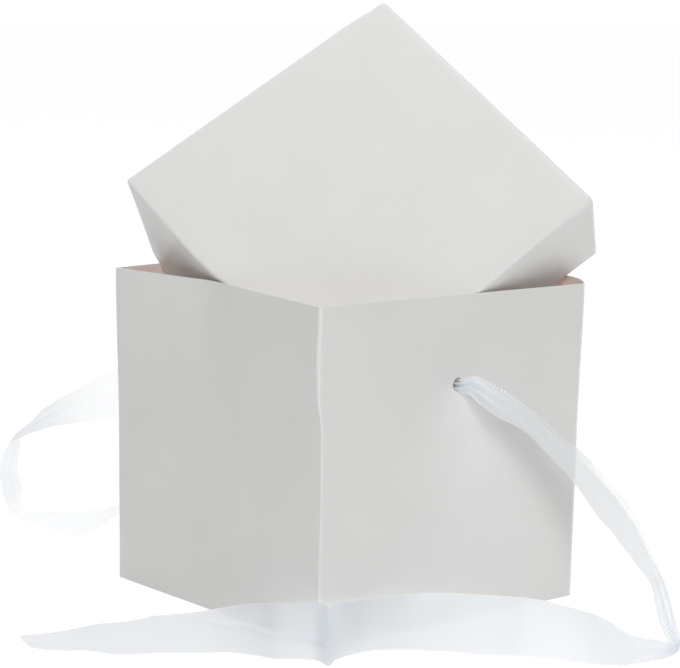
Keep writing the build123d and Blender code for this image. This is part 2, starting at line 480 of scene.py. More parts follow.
@dataclass(frozen=True)
class OrganzaFinish:
    """Sheer plain weave: crossing threads with open spaces, and a dense beaded selvedge."""

    name: str
    width: float  # of the ribbon, millimetres
    length: float
    colour: Colour = (0.853, 0.888, 0.913)
    edge_colour: Colour = (0.93, 0.93, 0.925)  # of the selvedge
    drift: Colour = (1.012, 0.99, 1.003)  # towards lavender, in patches
    pale: float = 1.05  # the colour between the bands, as a share of the plain one
    dense: float = 0.91  # the same where threads lie closest
    pitch: float = 0.42  # from thread to thread
    sway: float = 1.2  # how far the threads wander
    band: float = 1.6  # from one denser band of threads to the next
    band_slant: float = 0.55
    patch: tuple[float, float] = (0.53, 0.64)  # where in the patches' noise the bands come up
    patch_scale: float = 0.09  # patches, slubs and hue, each in its number to the millimetre
    slub_scale: float = 1.6
    hue_scale: float = 0.035
    uneven: float = 0.05  # how much bands and slubs add to the cover or take from it
    gap_cover: float = 0.60  # how much the open spaces hide
    thread_cover: float = 0.74
    closed_cover: float = 0.96  # where the weave has closed up
    dense_share: float = 0.14  # how much of the dense colour shows between the bands
    selvedge: float = 0.8  # width of the dense edge
    bead_pitch: float = 1.5
    bead_gain: float = 0.3  # beads hide more than threads by this times the threads' cover squared
    lit_edge_cover: float = 0.4  # cover left beside a curled edge, so the strip there shows lighter: partly a looser weave, partly a painted highlight
    glow: float = 0.52  # share of the light that comes through from behind
    roughness: float = 0.66
    gloss: float = 0.25
    sheen: float = 0.2
    sheen_roughness: float = 0.4
    tooth: float = 0.06
    tooth_depth: float = 0.0001  # metres

    def material(self) -> Material:
        """Build the material on the ribbon's own UV map, laid out in millimetres.

        Returns:
            The material.
        """
        shader = Shader(bpy.data.materials.new(self.name))
        flat = shader.add("UVMap", {"uv_map": "weave"})
        laid = shader.add("Mapping", Vector=flat, Scale=(self.width, self.length, 1.0))
        axes = shader.add("SeparateXYZ", Vector=laid)
        across, along = axes.outputs["X"], axes.outputs["Y"]
        patches = shader.add("TexNoise", Vector=laid, Scale=self.patch_scale, Detail=1.0)
        slub = shader.add("TexNoise", Vector=laid, Scale=self.slub_scale, Detail=3.0)
        hue = shader.add("TexNoise", Vector=laid, Scale=self.hue_scale, Detail=1.0)
        sway = shader.math("MULTIPLY", patches, self.sway)
        warp = shader.wave(shader.math("ADD", across, sway), self.pitch)
        weft = shader.wave(shader.math("ADD", along, sway), self.pitch)
        threads = shader.math(
            "MAXIMUM", shader.ranged(warp, -0.2, 0.7), shader.ranged(weft, -0.2, 0.7)
        )
        # Denser bands of threads run on the slant, and show in patches
        slant = shader.math("MULTIPLY", across, self.band_slant)
        even = shader.wave(shader.math("ADD", along, slant), self.band)
        bands = shader.math("MULTIPLY", even, shader.ranged(patches, *self.patch, 0.05))
        middle = self.width / 2
        off_middle = shader.math("ABSOLUTE", shader.math("SUBTRACT", across, middle))
        edge = shader.ranged(off_middle, middle - self.selvedge, middle - 0.7 * self.selvedge)
        bead = shader.ranged(shader.wave(along, self.bead_pitch), -0.7, 0.3, 0.7)
        less, more = 1 - self.uneven, 1 + self.uneven
        cover = shader.ranged(threads, 0.0, 1.0, self.gap_cover, self.thread_cover)
        cover = shader.math("MULTIPLY", cover, shader.ranged(bands, -1.0, 1.0, less, more))
        cover = shader.math("MULTIPLY", cover, shader.ranged(slub, 0.3, 0.7, less, more))
        hem = shader.math(
            "MULTIPLY", bead, self.thread_cover * (1 + self.bead_gain * self.thread_cover**2)
        )
        cover = shader.blended(edge, cover, hem, Mixed.NUMBERS)
        # Beside a curled edge the cover drops so the strip shows lighter: partly a looser weave, partly a
        # painted highlight.
        left = shader.ranged(shader.mark("loose_lit_edge"), 0.0, 1.0, 1.0, self.lit_edge_cover)
        cover = shader.math("MULTIPLY", cover, left)
        cover = shader.blended(shader.mark("gather"), cover, self.closed_cover, Mixed.NUMBERS)
        light, other = toned(self.colour, self.pale), toned(self.colour, self.pale, self.drift)
        body = shader.blended(shader.ranged(hue, 0.42, 0.58), light, other)
        shade = shader.ranged(bands, -0.2, 1.0, self.dense_share, 0.0)
        body = shader.blended(shade, body, toned(self.colour, self.dense))
        colour = shader.blended(edge, body, toned(self.edge_colour, 1.0))
        relief = shader.math("ADD", threads, shader.math("MULTIPLY", bands, 0.8))
        cloth = shader.add(
            "BsdfPrincipled",
            Base_Color=colour,
            Normal=shader.add("Bump", Strength=self.tooth, Distance=self.tooth_depth, Height=relief),
            Roughness=self.roughness,
            Specular_IOR_Level=self.gloss,
            Sheen_Weight=self.sheen,
            Sheen_Roughness=self.sheen_roughness,
        )
        lit = shader.mixed(self.glow, cloth, shader.add("BsdfTranslucent", Color=colour))
        return shader.close(shader.mixed(cover, shader.add("BsdfTransparent"), lit))


@dataclass(frozen=True)
class FloorFinish:
    """White paper sweep: bright to the camera, plain white card to the light."""

    name: str = "white_sweep"
    albedo: float = 0.90
    shadow_share: float = 0.14  # how much of its shadows the camera sees
    brightness: float = 1.12

    def material(self) -> Material:
        """Build the material.

        Returns:
            The material.
        """
        shader = Shader(bpy.data.materials.new(self.name))
        plain = shader.add("BsdfDiffuse", Color=(self.albedo,) * 3 + (1.0,))
        white = shader.add("Emission", Color=WHITE, Strength=self.brightness)
        shown = shader.mixed(self.shadow_share, white, plain)
        return shader.close(shader.mixed(shader.seen(), plain, shown))


# The box


@dataclass(frozen=True)
class BoxForm:
    """How far the handled box departs from a true square, in millimetres."""

    half: float = 75.0
    height: float = 147.0
    crease_y: float = 16.0  # soft crease in the front left wall
    crease_inset: float = 11.5
    crease_foot: float = 50.0
    crease_round: float = 4.0
    crease_climb: float = 1.15  # power by which it grows towards the rim
    bulge_x: float = -48.0  # the back left wall under the lid's skirt
    bulge: float = 3.5
    bulge_reach: float = 45.0
    ripple: float = 0.3
    ripple_size: float = 55.0

    swell_y: float = -52.0  # the back right wall under the lid's other skirt
    swell: float = 5.0
    swell_reach: float = 42.0
    swell_fold: float = 12.0  # it fades out over this stretch beside the right fold
    swell_rise: float = 1.0

    # How far three upright folds are shifted outwards, by height
    near_rows: Rows = ((0, 0.0), (30, 0.3), (60, 0.0), (95, 0.2), (108, 1.8), (125, 2.2), (147, 1.6))
    left_rows: Rows = ((0, 0.0), (75, 0.3), (147, 1.3))
    right_rows: Rows = ((0, 3.7), (75, 4.3), (147, 5.8))
    sideways: Vector = Vector((0.77, -0.64, 0))  # along the picture, from left to right
    rim_from: float = 0.35  # share of the height from which the rim's shifts come in

    # Share of the wide fold's radius that each upright fold has
    near_foot: float = 0.15
    near_top: float = 0.30
    near_dent: tuple[float, float] = (98, 114)  # heights between which the near fold opens
    right_fold: float = 0.97
    plain_fold: float = 0.15

    # How much higher the rim stands at three folds than at the back
    near_rise: float = 0.7
    left_rise: float = 0.6
    right_rise: float = -0.4

    # A shift of a wall is full up to the first distance inside it, and gone from the second on
    wall_near: float = 4.0
    wall_far: float = 9.0
    ripple_near: float = 5.0  # the ripple is the same up to this distance inside a wall
    ripple_fold: float = 40.0  # the ripple fades out over this stretch beside a fold

    def crease(self, y: float, z: float) -> float:
        """How far the front left wall is bent in.

        Args:
            y: Place along the wall.
            z: Height.

        Returns:
            The distance, inwards.
        """
        span_near, span_far = self.crease_y + self.half, self.half - self.crease_y
        total = 0.0
        for offset in (-self.crease_round, 0.0, self.crease_round):
            away = y + offset - self.crease_y
            total += max(1 - (away / span_far if away > 0 else -away / span_near), 0.0)
        climb = max((z - self.crease_foot) / (self.height - self.crease_foot), 0.0)
        return self.crease_inset * total / 3 * climb**self.crease_climb

    def fold_share(self, point: Vector) -> float:
        """Find the radius of the upright fold next to a point.

        Args:
            point: A point of a wide fold.

        Returns:
            Share of the wide radius.
        """
        if point.y > 0:
            return self.plain_fold
        if point.x > 0:
            return self.right_fold
        return self.near_foot + (self.near_top - self.near_foot) * rise(*self.near_dent, point.z)

    def at_wall(self, off: float) -> float:
        """1 at a wall's distance from the middle of the box, and 0 well inside it."""
        return rise(self.half - self.wall_far, self.half - self.wall_near, off)

    def shape(self, point: Vector) -> Vector:
        """Move a point of the true square box to where it is on the handled box.

        Args:
            point: A point of the walls or of the lining.

        Returns:
            The point on the handled box.
        """
        x, y, z = point
        across, back = (x / self.half + 1) / 2, (y / self.half + 1) / 2
        near, left, right = (1 - across) * (1 - back), (1 - across) * back, across * (1 - back)
        shift = self.sideways * (
            -table(self.near_rows, z) * near
            - table(self.left_rows, z) * left
            + table(self.right_rows, z) * right
        )
        at_rim = rise(self.rim_from * self.height, self.height, z)
        if x < 0:
            shift.x += self.crease(y, z) * self.at_wall(-x)
        rim = self.near_rise * near + self.left_rise * left + self.right_rise * right**2
        if y > 0:
            bulge = hump(self.bulge_x, self.bulge_reach, x) * at_rim
            shift.y += self.bulge * bulge * self.at_wall(y)
        if x > 0:
            swell = hump(self.swell_y, self.swell_reach, y) * self.at_wall(x)
            swell *= rise(0, self.swell_fold, y + self.half)
            shift.x += self.swell * swell * at_rim
            rim += self.swell_rise * swell
        shift.z += rim * at_rim
        if max(abs(x), abs(y)) > self.half - self.ripple_near:
            free = rise(0, self.ripple_fold, self.half - min(abs(x), abs(y)))
            wave = noise.noise(Vector((x, y, z * 0.8)) / self.ripple_size) * self.ripple * free
            if abs(x) > abs(y):
                shift.x += math.copysign(wave, x)
            else:
                shift.y += math.copysign(wave, y)
        return point + shift


@dataclass
class GiftBox:
    """Walls, bottom tray, lining and bottom board."""

    card: CardFinish
    paper: CardFinish
    form: BoxForm = BoxForm()
    thick: float = 0.6
    lining_out: float = 73.7
    lining_thick: float = 0.25
    lining_foot: float = 1.5
    lining_top: float = 146.0
    lining_pressed: float = 0.6  # its upper edge lies on the card
    pressed_from: float = 6.0  # and leaves it between these distances below the edge
    pressed_full: float = 1.0
    hole_radius: float = 3.0
    hole_height: float = 107.0
    flap_width: float = 14.0
    flap_taper: float = 4.0
    flap_foot: float = 14.6
    flap_setback: float = 7.0
    flap_edge: float = 0.1  # radius of its edges
    cutter_depth: float = 20.0
    parts: tuple[int, int] = (30, 30)  # of a wall, across and up

    def fold_nearness(self, point: Vector) -> float:
        """How near a point of the walls is to one of the four upright folds."""
        gap = max(self.form.half - abs(point.x), self.form.half - abs(point.y))
        return 1 - rise(FOLD_WORN, WIDE_FOLD, gap)

    def hole_cutters(self) -> list[Object]:
        """Make a round cutter for each ribbon hole.

        Returns:
            The two cutters, across the walls.
        """
        cutters = []
        for side in (-1, 1):
            centre = self.form.shape(Vector((0, side * self.form.half, self.hole_height)))
            bm = bmesh.new()
            bmesh.ops.create_cone(
                bm,
                cap_ends=True,
                segments=48,
                radius1=self.hole_radius,
                radius2=self.hole_radius,
                depth=self.cutter_depth,
                matrix=Matrix.Translation(centre) @ Matrix.Rotation(math.pi / 2, 4, "X"),
            )
            cutters.append(as_piece(bm, f"hole_cutter_{side}"))
        return cutters

    def shell(
        self, name: str, half: float, foot: float, top: float, thick: float, pressed: float = 0.0
    ) -> Object:
        """Make four joined walls with thickness, shaped like the handled box.

        Args:
            name: Name of the piece.
            half: Half of the outside width.
            foot: Height of the lower edge.
            top: Height of the upper edge.
            thick: Thickness, inwards.
            pressed: How far the upper edge is pressed outwards, onto what is behind it.

        Returns:
            The piece, not yet dressed.
        """
        bm = open_tray(2 * half, foot, top, self.parts, self.fold_nearness)
        for vert in bm.verts:
            corners = (math.copysign(half, vert.co.x), math.copysign(half, vert.co.y), None)
            tight = tighten(vert.co, corners, self.form.fold_share(vert.co))
            at_edge = rise(top - self.pressed_from, top - self.pressed_full, tight.z)
            out = 1 + pressed / half * at_edge
            vert.co = self.form.shape(Vector((tight.x * out, tight.y * out, tight.z)))
        bmesh.ops.recalc_face_normals(bm, faces=bm.faces)
        return as_card(bm, name, thick, self.hole_cutters())

    def glue_flap(self) -> Object:
        """Make the flap that closes the strip of walls, inside the back right wall.

        Returns:
            The flap, not yet dressed.
        """
        inside = self.form.half - self.thick
        foot, top = self.flap_foot, self.form.height - self.flap_setback
        bm = bmesh.new()
        bmesh.ops.create_cube(bm, size=1.0)
        bmesh.ops.scale(bm, vec=(self.thick, self.flap_width, top - foot), verts=bm.verts)
        for vert in bm.verts:
            if vert.co.y < 0:
                vert.co.z -= math.copysign(self.flap_taper, vert.co.z)
        middle = (inside - self.thick / 2, inside - self.flap_width / 2, (foot + top) / 2)
        bmesh.ops.translate(bm, vec=middle, verts=bm.verts)
        long_edges = [e for e in bm.edges if e.calc_length() > self.flap_width / 2]
        bmesh.ops.bevel(
            bm, geom=long_edges, offset=self.flap_edge, segments=2, profile=0.5, affect="EDGES", material=-1
        )
        return as_piece(bm, "glue_flap")

    def build(self) -> None:
        """Build and dress the pieces of the box."""
        card, paper = self.card.material(), self.paper.material()
        walls = self.shell("wall_card", self.form.half, 0.0, self.form.height, self.thick)
        hand_over(walls, Body.BOX, card, "wall_sheet")
        lining = self.shell(
            "wall_paper",
            self.lining_out,
            self.lining_foot,
            self.lining_top,
            self.lining_thick,
            self.lining_pressed,
        )
        hand_over(lining, Body.BOX, paper, "wall_lining")
        hand_over(self.glue_flap(), Body.BOX, card, "wall_sheet")
        for node, slot, finish in (
            ("bottom_tray", Slot.CARD, card),
            ("floor_liner", Slot.PAPER, paper),
        ):
            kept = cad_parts[node]
            kept.data.materials.clear()
            kept.data.materials.append(finish)
            log.info("%s: kept, dressed in %s", node, finish.name)


# The lid


@dataclass(frozen=True)
class LidForm:
    """The lid's seat in the mouth, and how far the handled lid departs from a true square."""

    side: float = 152.0
    depth: float = 43.0
    corner: Vector = Vector((-56.178, -53.089, 102.607))
    edge_right: Vector = Vector((0.80026, -0.25163, 0.54430))
    edge_left: Vector = Vector((-0.12118, 0.82110, 0.55777))
    face_out: Vector = Vector((-0.58728, -0.51232, 0.62660))
    bow: float = 5.5  # the left skirt, outwards
    bow_lean: float = 0.55
    bow_from: tuple[float, float] = (12.0, 5.0)  # distances from the skirt between which it comes in
    dish: float = 0.5  # the face, inwards

    # Shifts of the corners in the plane of the face: left, top and right, then the same at the rim
    face_shifts: Rows = ((2.2, 0.1), (1.9, 0.5), (2.1, 0.6))
    rim_shifts: Rows = ((1.6, -6.4), (1.9, -0.2), (2.2, 0.0))

    # The low corner is bent towards the right, from a line across the lid downwards
    bend_across: tuple[float, float] = (0.637, 0.770)  # direction across that line, in the face
    bend_line: float = 81.0  # distance from the low corner at which the bend starts
    bend_reach: float = 26.0
    bend_way: Vector = Vector((2.3, -1.9, 0))
    plain_fold: float = 0.17  # share of the wide radius
    right_fold: float = 0.47  # the same, at the worn folds round the right side
    right_reach: tuple[float, float] = (22.0, 6.0)  # distances from that side between which they start

    def fold_share(self, across: float) -> float:
        """Find the radius of the folds at a distance from the lid's middle.

        Args:
            across: The distance, towards the right side.

        Returns:
            Share of the wide radius.
        """
        start, end = self.right_reach
        worn = rise(self.side / 2 - start, self.side / 2 - end, across)
        return self.plain_fold + (self.right_fold - self.plain_fold) * worn

    def placing(self) -> Matrix:
        """Matrix from the lid's own axes to the frame's, in millimetres."""
        turn = Matrix((self.edge_right, self.edge_left, self.face_out)).transposed().to_4x4()
        return Matrix.Translation(self.corner) @ turn

    def shape(self, point: Vector) -> Vector:
        """Move a point of the true lid, in its own axes, to where it is on the handled lid.

        Args:
            point: x along the lower right edge, y along the lower left one, z out of the face.

        Returns:
            The point on the handled lid.
        """
        x, y, z = point
        across, up = x / self.side, y / self.side
        deep = min(max(-z / self.depth, 0.0), 1.0)
        weights = ((1 - across) * up, across * up, across * (1 - up))
        moved = Vector(point)
        for weight, face, rim in zip(weights, self.face_shifts, self.rim_shifts):
            for axis in (0, 1):
                moved[axis] += weight * (face[axis] * (1 - deep) + rim[axis] * deep)
        along = self.bend_across[0] * x + self.bend_across[1] * y
        bent = rise(self.bend_line, self.bend_line - self.bend_reach, along)
        moved += self.bend_way * bent * (1 - 0.5 * deep)
        if x < self.side / 2:
            share = min(max(1 - up, 0.0), 1.0) ** self.bow_lean
            hold = rise(*self.bow_from, x)
            moved.x -= self.bow * math.sin(math.pi * share) * deep**1.3 * hold
        moved.z -= self.dish * math.sin(math.pi * across) * math.sin(math.pi * up) * (1 - deep)
        return moved


@dataclass
class Lid:
    """The lift-off lid: folded card and its paper lining."""

    card: CardFinish
    paper: CardFinish
    form: LidForm = LidForm()
    thick: float = 0.6
    lining_gap: float = 1.3  # from the outside of the card to the lining
    lining_thick: float = 0.25
    lining_setback: float = 1.0
    parts: tuple[int, int] = (26, 13)  # of a skirt, across and down

    def fold_nearness(self, point: Vector) -> float:
        """Find how near a point is to one of the lid's folds.

        Args:
            point: The point, in the tray's axes.

        Returns:
            1 on a fold, 0 away from all.
        """
        half = self.form.side / 2
        off = sorted((half - abs(point.x), half - abs(point.y), point.z))
        return 1 - rise(FOLD_WORN, WIDE_FOLD, off[1])

    def tray(self, name: str, inset: float, depth: float, thick: float) -> Object:
        """Make the lid's card or its lining in place.

        Args:
            name: Name of the piece.
            inset: How far inside the card's outer face it lies.
            depth: Depth of its skirts.
            thick: Thickness, inwards.

        Returns:
            The piece, not yet dressed.
        """
        form = self.form
        width = form.side - 2 * inset
        bm = open_tray(width, 0, depth, self.parts, self.fold_nearness, with_floor=True)
        bmesh.ops.recalc_face_normals(bm, faces=bm.faces)
        # The tray stands open upwards. Turned over, its floor is the lid's face.
        middle = Matrix.Translation((form.side / 2, form.side / 2, -inset))
        over = middle @ Matrix.Rotation(math.pi, 4, "X")
        for vert in bm.verts:
            x, y, _ = vert.co
            corners = (math.copysign(width / 2, x), math.copysign(width / 2, y), 0.0)
            tight = tighten(vert.co, corners, form.fold_share(x))
            vert.co = form.placing() @ form.shape(over @ tight)
        facing = [f.normal.dot(form.face_out) for f in bm.faces]
        if sum(share for share in facing if abs(share) > 0.9) < 0:
            bmesh.ops.reverse_faces(bm, faces=bm.faces)
        return as_card(bm, name, thick)

    def build(self) -> None:
        """Build and dress the pieces of the lid."""
        card = self.tray("lid_card", 0.0, self.form.depth, self.thick)
        hand_over(card, Body.LID, self.card.material(), "lid_sheet")
        lined = self.form.depth - self.lining_gap - self.lining_setback
        lining = self.tray("lid_paper", self.lining_gap, lined, self.lining_thick)
        hand_over(lining, Body.LID, self.paper.material(), "lid_lining")


# The ribbons


@dataclass(frozen=True)
class Station:
    """One place on a ribbon's way, in millimetres and degrees."""

    centre: Vector
    across: Vector  # direction of the width
    spread: float  # share of the full width that the section spans
    cup: float = 0.0  # degrees of arc across the width
    pleats: float = 1.0  # share of the slack that stands up in pleats

    def mixed(self, other: "Station", share: float) -> "Station":
        """A station between this one and another.

        Args:
            other: The other one.
            share: How far it lies towards the other.

        Returns:
            The new station.
        """
        return Station(
            self.centre.lerp(other.centre, share),
            self.across.lerp(other.across, share),
            self.spread + (other.spread - self.spread) * share,
            self.cup + (other.cup - self.cup) * share,
            self.pleats + (other.pleats - self.pleats) * share,
        )


@dataclass
class Ribbon:
    """A sheer ribbon: a sheet that follows its stations, gathered where it leaves its hole."""

    name: str
    ribbon_node: str
    stations: list[Station]
    gap_cover: float  # how much its open spaces hide
    thread_cover: float  # and its threads
    dense_rows: Rows  # how far the weave has closed up, by run
    width: float = RIBBON_WIDTH
    rest: float = 0.3  # lowest height, on the table
    segment: float = 1.1  # along the ribbon, from row to row
    columns: int = 44
    phase: float = 0.0  # turn of pleats and flutter
    pleat_count: float = 2.5
    pleat_drift: float = 0.35  # how far the pleats wander, in radians of their wave
    pleat_drift_length: float = 23.0
    flutter: float = 0.35
    flutter_length: float = 31.0
    flutter_lag: float = 1.7  # from the middle to an edge
    flutter_rows: tuple[float, float] = (20, 70)  # it comes in over this run
    closed_spread: tuple[float, float] = (0.55, 0.2)  # spreads between which it closes up besides
    lip: float = 0.0  # how far one edge curls over, where the ribbon hangs free
    lip_side: tuple[float, float] = (0.35, 1.0)  # over which part of its half of the width
    lit_edge_side: tuple[float, float] = (0.5, 0.62)  # where that lighter strip lies beside it: partly a looser weave, partly a painted highlight
    lip_from: float = 85.0
    lip_to: float = 170.0
    lip_ends: tuple[float, float] = (20.0, 40.0)  # stretches over which it comes and goes
    crease: float = 0.0  # height of a soft lengthwise crease
    crease_half: float = 0.2  # its half width, of the ribbon's half
    crease_comes: float = 6.0  # it comes in over this stretch
    crease_rows: Rows = ((0, 0.0),)  # where it runs across the width, by run

    def spline(self) -> tuple[list[Station], list[float]]:
        """Smooth the stations into a close row of places.

        Returns:
            Places every segment or so along the ribbon, and the run of each from its start.
        """
        fine: list[Station] = []
        rows = self.stations
        for index in range(len(rows) - 1):
            one, two = rows[index], rows[index + 1]
            before = rows[index - 1] if index else rows[0]
            after = rows[index + 2] if index + 2 < len(rows) else rows[-1]
            gap = (two.centre - one.centre).length
            lead = (one.centre - before.centre).length or gap
            trail = (after.centre - two.centre).length or gap
            pull_one = (two.centre - before.centre) * (gap / (gap + lead))
            pull_two = (after.centre - one.centre) * (gap / (gap + trail))
            count = max(int(gap / self.segment), 2)
            for step in range(count):
                t = step / count
                t2, t3 = t * t, t * t * t
                centre = (
                    one.centre * (2 * t3 - 3 * t2 + 1)
                    + pull_one * (t3 - 2 * t2 + t)
                    + two.centre * (3 * t2 - 2 * t3)
                    + pull_two * (t3 - t2)
                )
                eased = t * t * (3 - 2 * t)
                fine.append(replace(one.mixed(two, 0.5 * t + 0.5 * eased), centre=centre))
        fine.append(rows[-1])
        runs = [0.0]
        for a, b in zip(fine, fine[1:]):
            runs.append(runs[-1] + (b.centre - a.centre).length)
        return fine, runs

    def curl(self, run: float) -> float:
        """Share of the edge's curl at a distance along the ribbon."""
        come, go = self.lip_ends
        return rise(self.lip_from - come, self.lip_from, run) * rise(self.lip_to, self.lip_to - go, run)

    def section(self, place: Station, along: Vector, side: float, run: float) -> Vector:
        """Where one thread of the ribbon lies in the section at a place.

        Args:
            place: The station.
            along: Unit direction of the ribbon there.
            side: From -1 at one selvedge to 1 at the other.
            run: Millimetres along the ribbon.

        Returns:
            The point, in millimetres.
        """
        across = place.across.normalized()
        up = across.cross(along).normalized()
        half = self.width / 2 * place.spread
        if place.cup:
            bend = math.radians(place.cup) / 2
            radius = half / math.sin(min(abs(bend), math.pi / 2)) * (1 if place.cup > 0 else -1)
            sideways = abs(radius) * math.sin(abs(bend) * side)
            lift = radius * (math.cos(bend * side) - math.cos(bend))
        else:
            sideways, lift = half * side, 0.0
        slack = math.sqrt(max(1 - place.spread**2, 0.0)) * place.pleats
        tall = self.width * slack / (4 * self.pleat_count)
        drift = self.pleat_drift * math.sin(run / self.pleat_drift_length)
        lift += tall * math.cos(2 * math.pi * self.pleat_count * side / 2 + self.phase + drift)
        sway = 2 * math.pi * run / self.flutter_length + self.flutter_lag * side + self.phase
        lift += self.flutter * rise(*self.flutter_rows, run) * side * math.sin(sway)
        lift += self.lip * self.curl(run) * rise(*self.lip_side, side) * max(side, 0.0)
        start = self.crease_rows[0][0]
        creased = hump(table(self.crease_rows, run), self.crease_half, side)
        lift += self.crease * creased * rise(start, start + self.crease_comes, run)
        point = place.centre + across * sideways + up * lift
        point.z = max(point.z, self.rest)
        return point

    def build(self, knot: Object) -> None:
        """Args:
            knot: Its tied end. It is not used.
        """
        places, runs = self.spline()
        rows, length = len(places), runs[-1]
        bm = bmesh.new()
        bm.loops.layers.uv.new("weave")
        bmesh.ops.create_grid(
            bm, x_segments=self.columns, y_segments=rows - 1, size=1.0, calc_uvs=True
        )
        gather = bm.verts.layers.float.new("gather")
        loose_lit_edge = bm.verts.layers.float.new("loose_lit_edge")
        for vert in bm.verts:
            row = round((vert.co.y + 1) / 2 * (rows - 1))
            side = vert.co.x
            closed = rise(*self.closed_spread, places[row].spread)
            vert[gather] = max(closed, table(self.dense_rows, runs[row]))
            # Marks the lighter strip beside the curled edge: partly a looser weave, partly a painted
            # highlight.
            vert[loose_lit_edge] = self.curl(runs[row]) * rise(*self.lit_edge_side, side) if self.lip else 0.0
            last = min(row + 1, rows - 1)
            along = (places[last].centre - places[max(row - 1, 0)].centre).normalized()
            vert.co = self.section(places[row], along, side, runs[row])
        piece = as_piece(bm, self.name, CLOTH_ANGLE)
        finish = OrganzaFinish(
            f"{self.name}_weave",
            self.width,
            length,
            gap_cover=self.gap_cover,
            thread_cover=self.thread_cover,
        )
        hand_over(piece, Body.BOX, finish.material(), self.ribbon_node)
        log.info("%s: %.0f mm long", self.name, length)


@dataclass
class StopKnot:
    """The tied end of a ribbon inside its wall: one pleated strand in a tight knot, and its tail."""

    name: str
    node: str
    side: int  # -1 inside the front right wall, 1 inside the back left wall
    height: float = 107.0
    middle: float = 69.95  # distance of its middle from the middle of the box
    loop: float = 1.2  # size of the knot's loops
    deep: float = 2.0  # how far they reach to and fro
    strand: float = 1.6  # radius of the strand
    pleat: float = 0.2  # height of its pleats, of that radius
    pleats: int = 6
    pleat_shift: int = 3  # by how many pleats they move round the strand, over its length
    tail_top: float = 2.6
    tail_length: float = 14.0
    tail_width: float = 10.5
    tail_neck: float = 0.28  # share of the width that the tail has at the knot
    tail_fold: float = 1.3  # depth of its folds
    tail_folds: float = 1.5  # how many, on each side of its middle
    tail_open: float = 0.45  # how much of their depth they lose on the way down
    tail_sideways: float = 1.5  # how far its cut end lies to the side
    tail_slant: float = 1.2  # how far one end of the cut is higher than the middle
    closed_length: float = 8.0  # of the tail, over which the weave opens up
    cloth_length: float = 80.0  # of ribbon in knot and tail, for the weave

    def strand_middle(self, turn: float) -> Vector:
        """Follow the middle line of the strand, a trefoil.

        Args:
            turn: How far along, once round at 2 pi.

        Returns:
            The point, in millimetres.
        """
        return Vector((
            self.loop * (math.sin(turn) + 2 * math.sin(2 * turn)),
            -self.deep * math.sin(3 * turn),
            self.loop * (math.cos(turn) - 2 * math.cos(2 * turn)),
        ))

    def strand_skin(self, along: float, around: float) -> Vector:
        """Find a point on the pleated skin of the strand.

        Args:
            along: Share of the way along it.
            around: Share of the way round it.

        Returns:
            The point, in millimetres.
        """
        turn, angle = 2 * math.pi * along, 2 * math.pi * around
        middle = self.strand_middle(turn)
        ahead = (self.strand_middle(turn + 0.01) - middle).normalized()
        out = ahead.cross(Vector((0, 1, 0))).normalized()
        up = out.cross(ahead)
        radius = self.strand * (1 + self.pleat * math.cos(self.pleats * angle + self.pleat_shift * turn))
        return middle + (out * math.cos(angle) + up * math.sin(angle)) * radius

    def tail(self, down: float, side: float) -> Vector:
        """Find a point of the cut tail.

        Args:
            down: Share of the way down, from 0 to 1.
            side: From -1 at one edge to 1 at the other.

        Returns:
            The point, in millimetres.
        """
        open_share = self.tail_neck + (1 - self.tail_neck) * rise(0.0, 1.0, down)
        x = self.tail_width / 2 * open_share * side + self.tail_sideways * down
        wave = math.cos(2 * math.pi * self.tail_folds * side + 0.6)
        fold = self.tail_fold * (1 - self.tail_open * down) * wave
        slant = self.tail_slant * side * down
        return Vector((x, fold, slant - self.tail_top - self.tail_length * down))

    def build(self) -> Object:
        """Build and dress the knot.

        Returns:
            The knot with its tail, one piece.
        """
        bm = bmesh.new()
        bm.loops.layers.uv.new("weave")
        bmesh.ops.create_grid(bm, x_segments=36, y_segments=160, size=1.0, calc_uvs=True)
        for vert in bm.verts:
            vert.co = self.strand_skin((vert.co.y + 1) / 2, (vert.co.x + 1) / 2)
        knotted = list(bm.verts)
        bmesh.ops.create_grid(bm, x_segments=30, y_segments=24, size=1.0, calc_uvs=True)
        for vert in bm.verts[len(knotted):]:
            vert.co = self.tail((vert.co.y + 1) / 2, vert.co.x)
        bmesh.ops.remove_doubles(bm, verts=knotted, dist=0.001)
        gather = bm.verts.layers.float.new("gather")
        for vert in bm.verts:
            vert[gather] = rise(-self.tail_top - self.closed_length, -self.tail_top, vert.co.z)
        place = Matrix.Translation((0, self.side * self.middle, self.height))
        bmesh.ops.transform(bm, matrix=place, verts=bm.verts)
        piece = as_piece(bm, self.name, CLOTH_ANGLE)
        finish = OrganzaFinish(f"{self.name}_weave", RIBBON_WIDTH, self.cloth_length)
        hand_over(piece, Body.BOX, finish.material(), self.node)
        return piece


def hanging(rows: Sequence[tuple[float, ...]]) -> list[Station]:
    """Stations from rows of centre, azimuth and elevation of the width, spread, cup and pleats."""
    return [Station(Vector(row[:3]), unit(row[3], row[4]), *row[5:]) for row in rows]


def lying(rows: Sequence[tuple[float, ...]]) -> list[Station]:
    """Make the stations of a stretch on the table.

    Args:
        rows: Lower edge x and y, lean of the width from level, azimuth of its foot, then spread,
            cup and pleats.

    Returns:
        The stations.
    """
    made = []
    for x, y, lean, azimuth, spread, *fold in rows:
        across = unit(azimuth, lean)
        edge = Vector((x, y, TABLE_REST))
        made.append(Station(edge + across * (RIBBON_WIDTH * spread / 2), across, spread, *fold))
    return made


# The studio


@dataclass(frozen=True)
class Softbox:
    """A square lamp that looks at the box."""

    name: str
    way: Vector  # from the box towards the lamp
    distance: float  # metres, as the next
    size: float
    power: float  # watts
    aim: Vector = Vector((0, 0, 0.1))

    def build(self) -> None:
        """Add the lamp."""
        data = bpy.data.lights.new(self.name, "AREA")
        data.size, data.energy = self.size, self.power
        lamp = bpy.data.objects.new(self.name, data)
        away = self.way.normalized()
        lamp.location = self.aim + away * self.distance
        lamp.rotation_mode = "QUATERNION"
        lamp.rotation_quaternion = away.to_track_quat("Z", "Y")
        bpy.context.scene.collection.objects.link(lamp)


